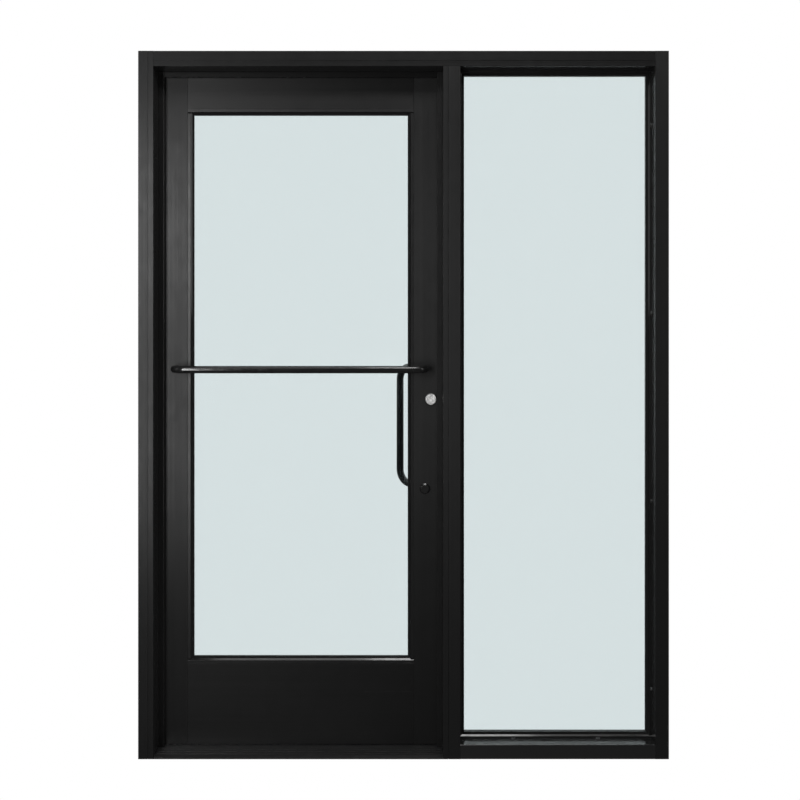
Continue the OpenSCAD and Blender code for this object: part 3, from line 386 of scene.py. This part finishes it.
def bulb_profile(slot_w, slot_d, bulb_w, bulb_h):
    """Foot in the stop's slot and a soft bulb that the door leaf presses."""
    points = [(-slot_w / 2, -slot_d), (slot_w / 2, -slot_d), (slot_w / 2, -0.4 * MM),
              (slot_w / 2 - 0.3 * MM, -0.1 * MM)]
    steps = 12
    for i in range(steps + 1):
        a = math.pi * i / steps
        squash = 1 - 0.06 * math.sin(3 * a) ** 2
        points.append((bulb_w * math.cos(a) * squash, max(0.02 * MM, bulb_h * math.sin(a))))
    points += [(-slot_w / 2 + 0.3 * MM, -0.1 * MM), (-slot_w / 2, -0.4 * MM)]
    return points


def weather_seal():
    """Bulb seals on the door stops: two upright runs and one under the header."""
    low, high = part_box("weather_seals")
    stop_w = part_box("hinge_door_stop")[1].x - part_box("hinge_door_stop")[0].x
    x_left, x_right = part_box("hinge_door_stop")[0].x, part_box("lock_door_stop")[1].x
    y_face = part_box("hinge_door_stop")[1].y
    bulb = high.y - y_face
    section = bulb_profile(3.6 * MM, 2.2 * MM, bulb, bulb)
    verts, faces = [], []

    def run(rows):
        more, more_faces = loft(rows, False)
        faces.extend(tuple(len(verts) + i for i in f) for f in more_faces)
        verts.extend(more)

    for x in (x_left + stop_w / 2, x_right - stop_w / 2):
        run([[(x + u, y_face + v, z) for u, v in section] for z in (low.z, high.z)])
    z = high.z - stop_w / 2
    run([[(x, y_face + v, z - u) for u, v in section]
         for x in (x_left + stop_w, x_right - stop_w)])
    rubber_piece("weather_seal_bulbs", verts, faces, "frame", "weather_seals")


def door_sweep():
    """Sweep under the leaf: a thin strip with three soft fins."""
    low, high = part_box("door_sweep")
    y, half, fin = (low.y + high.y) / 2, (high.y - low.y) / 2, 0.75 * MM
    strip = high.z - 0.7 * MM
    section = [(y - half, high.z), (y + half, high.z), (y + half, strip)]
    for centre in (half - fin, 0.0, fin - half):
        section += [(y + centre + fin, strip), (y + centre + fin * 0.55, low.z + 0.2 * MM),
                    (y + centre, low.z), (y + centre - fin * 0.55, low.z + 0.2 * MM),
                    (y + centre - fin, strip)]
    section.append((y - half, strip))
    rows = [[(x, v, z) for v, z in section] for x in (low.x, high.x)]
    verts, faces = loft(rows, False)
    rubber_piece("sweep_fins", verts, faces, "door", "door_sweep")


def opening_of(node):
    """The outline (x0, x1, z0, z1) of a ring of beads or stops."""
    low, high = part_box(node)
    return low.x, high.x, low.z, high.z


def rubber_pieces():
    glazing_gaskets("door_glazing_gaskets", ("door_inner_pane", "door_outer_pane"),
                    "door_gaskets", "door", opening_of("door_outer_beads"),
                    DOOR_INSIDE_GASKET, DOOR_OUTSIDE_GASKET)
    glazing_gaskets("sidelite_glazing_gaskets", ("sidelite_inner_pane", "sidelite_outer_pane"),
                    "sidelite_gaskets", "frame", opening_of("sidelite_outer_stops"),
                    SIDELITE_INSIDE_GASKET, SIDELITE_OUTSIDE_GASKET)
    weather_seal()
    door_sweep()


# ------------------------------------------------------------------ studio

CAMERA_PLACE = (0.0, -2.523, 1.2818)
LENS, SENSOR = 37.85, 36.0
SHIFT_X, SHIFT_Y = -0.0044, -0.0975

# Brightness that the room gives to reflections and soft light: in front of the door,
# behind it above the floor, and on the floor close behind and far behind
ROOM_FRONT, ROOM_BACK = 0.02, 1.0
FLOOR_FRONT, FLOOR_NEAR, FLOOR_FAR = 0.02, 0.09, 0.70
FLOOR_HALF = 14.0

# name: (place, aimed at, width, height, power). The last is for the key cylinder's shine
SOFTBOXES = {
    "key_high": ((-1.46, -2.52, 1.82), (-0.54, 0.0, 1.42), 0.32, 1.10, 19.5),
    "key_low": ((-1.44, -2.52, 0.60), (-0.54, 0.0, 0.98), 0.32, 1.00, 11.0),
    "overhead": ((0.32, -1.40, 3.40), (0.22, 0.0, 0.20), 1.05, 0.60, 15.0),
    "overhead_wide": ((0.40, -1.40, 3.45), (0.30, 0.0, 0.20), 3.40, 0.60, 15.0),
    "left_side": ((-3.00, -1.15, 2.20), (0.70, 0.0, 1.50), 0.60, 1.70, 2.0),
    "right_side": ((3.00, -0.95, 2.20), (-0.64, 0.0, 1.50), 0.60, 1.70, 3.5),
    "lock_glint": ((0.165, -2.50, 0.82), (0.082, 0.0, 1.05), 0.20, 0.20, 0.17),
}


def seen_directly(nodes, links):
    """One for what the camera sees directly or through glass, and zero for light and gloss."""
    path = nodes.new("ShaderNodeLightPath")
    both = nodes.new("ShaderNodeMath")
    both.operation = "MULTIPLY"
    for i, output in enumerate(("Diffuse Depth", "Glossy Depth")):
        none_yet = nodes.new("ShaderNodeMath")
        none_yet.operation = "LESS_THAN"
        none_yet.inputs[1].default_value = 0.5
        links.new(path.outputs[output], none_yet.inputs[0])
        links.new(none_yet.outputs[0], both.inputs[i])
    return both.outputs[0]


def map_value(nodes, links, value, low, high, to_low, to_high):
    """Maps value from low..high to to_low..to_high. The last two may be numbers or sockets."""
    made = nodes.new("ShaderNodeMapRange")
    links.new(value, made.inputs["Value"])
    for key, number in (("From Min", low), ("From Max", high), ("To Min", to_low),
                        ("To Max", to_high)):
        if isinstance(number, bpy.types.NodeSocket):
            links.new(number, made.inputs[key])
        else:
            made.inputs[key].default_value = number
    return made.outputs[0]


def make_world():
    """White studio cove to the eye. Its share in the object's light fades to the front."""
    world = bpy.data.worlds.new("studio")
    world.use_nodes = True
    nodes, links = world.node_tree.nodes, world.node_tree.links
    way = nodes.new("ShaderNodeSeparateXYZ")
    links.new(nodes.new("ShaderNodeTexCoord").outputs["Generated"], way.inputs[0])
    room = map_value(nodes, links, way.outputs[1], -0.1, 0.3, ROOM_FRONT, ROOM_BACK)
    light = map_value(nodes, links, seen_directly(nodes, links), 0.0, 1.0, room, 1.0)
    background = nodes["Background"]
    background.inputs["Color"].default_value = (1.0, 1.0, 1.0, 1.0)
    links.new(light, background.inputs["Strength"])
    bpy.context.scene.world = world


def make_floor():
    """Plain white floor, even to the eye. It gives the object less light than it shows."""
    half = FLOOR_HALF
    mesh = bpy.data.meshes.new("floor")
    mesh.from_pydata([(-half, -half, 0), (half, -half, 0), (half, half, 0), (-half, half, 0)],
                     [], [(0, 1, 2, 3)])
    floor = bpy.data.objects.new("floor", mesh)
    bpy.context.scene.collection.objects.link(floor)
    material = bpy.data.materials.new("floor_white")
    material.use_nodes = True
    nodes, links = material.node_tree.nodes, material.node_tree.links
    nodes.clear()
    place = nodes.new("ShaderNodeSeparateXYZ")
    links.new(nodes.new("ShaderNodeTexCoord").outputs["Object"], place.inputs[0])
    behind = map_value(nodes, links, place.outputs[1], 0.5, 7.0, FLOOR_NEAR, FLOOR_FAR)
    room = map_value(nodes, links, place.outputs[1], -0.3, 0.4, FLOOR_FRONT, behind)
    light = map_value(nodes, links, seen_directly(nodes, links), 0.0, 1.0, room, 1.0)
    emission = nodes.new("ShaderNodeEmission")
    emission.inputs["Color"].default_value = (1.0, 1.0, 1.0, 1.0)
    links.new(light, emission.inputs["Strength"])
    output = nodes.new("ShaderNodeOutputMaterial")
    links.new(emission.outputs[0], output.inputs["Surface"])
    mesh.materials.append(material)


def aim(obj, place, target):
    obj.location = place
    way = Vector(target) - Vector(place)
    obj.rotation_euler = way.to_track_quat("-Z", "Y").to_euler()


def make_softboxes():
    """Soft boxes in front of the door, which light every piece alike."""
    for name, (place, target, width, height, power) in SOFTBOXES.items():
        lamp = bpy.data.lights.new(name, "AREA")
        lamp.shape = "RECTANGLE"
        lamp.size, lamp.size_y, lamp.energy = width, height, power
        box = bpy.data.objects.new(name, lamp)
        box.visible_camera = box.visible_transmission = False
        bpy.context.scene.collection.objects.link(box)
        aim(box, place, target)


def make_camera():
    camera = bpy.data.cameras.new("camera")
    camera.lens, camera.sensor_width = LENS, SENSOR
    camera.shift_x, camera.shift_y = SHIFT_X, SHIFT_Y
    camera.clip_start, camera.clip_end = 0.05, 100.0
    camera.dof.use_dof = False
    holder = bpy.data.objects.new("camera", camera)
    holder.location = CAMERA_PLACE
    holder.rotation_euler = (math.radians(90.0), 0.0, 0.0)
    bpy.context.scene.collection.objects.link(holder)
    bpy.context.scene.camera = holder


# ------------------------------------------------------------------ build

dress_nodes()
rubber_pieces()
make_world()
make_floor()
make_softboxes()
make_camera()
bpy.context.scene.view_settings.view_transform = "Standard"
